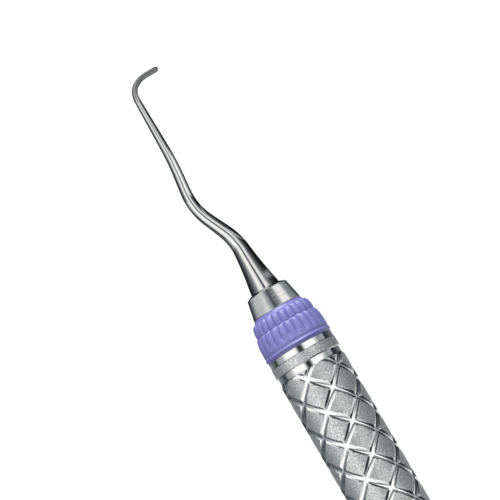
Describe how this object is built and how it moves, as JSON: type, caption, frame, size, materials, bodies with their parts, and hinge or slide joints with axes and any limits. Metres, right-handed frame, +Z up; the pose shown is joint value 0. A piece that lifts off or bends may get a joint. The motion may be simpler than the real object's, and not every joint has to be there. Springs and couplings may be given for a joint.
{
  "type": "hand scaler",
  "caption": "Double-ended dental hand scaler: hollow steel handle with crossed grip grooves, ribbed silicone grip rings, turned nose cones and bent shanks with curette blades.",
  "frame": {"origin": "centre of the handle, on its axis", "axes": "+X along the handle's axis toward the front working end, +Z up as the tool lies flat with its shank's bends in the XY plane, +Y to the side that the front shank bows out to"},
  "size_m": [0.1778, 0.0096, 0.0098],
  "materials": {
    "handle_steel": "sand-blasted ground with polished crossing grooves",
    "turned_steel": "fine turned and polished",
    "grip_silicone": "satin moulded silicone",
    "polished_steel": "mirror polished",
    "seal_rubber": "matte"
  },
  "bodies": {
    "root": {"handle_tube": "handle_steel", "front_nose_cone": "turned_steel", "front_grip_ring": "grip_silicone", "front_working_end": "polished_steel", "front_seal_ring": "seal_rubber", "rear_nose_cone": "turned_steel", "rear_grip_ring": "grip_silicone", "rear_working_end": "polished_steel", "rear_seal_ring": "seal_rubber"}
  },
  "joints": []
}
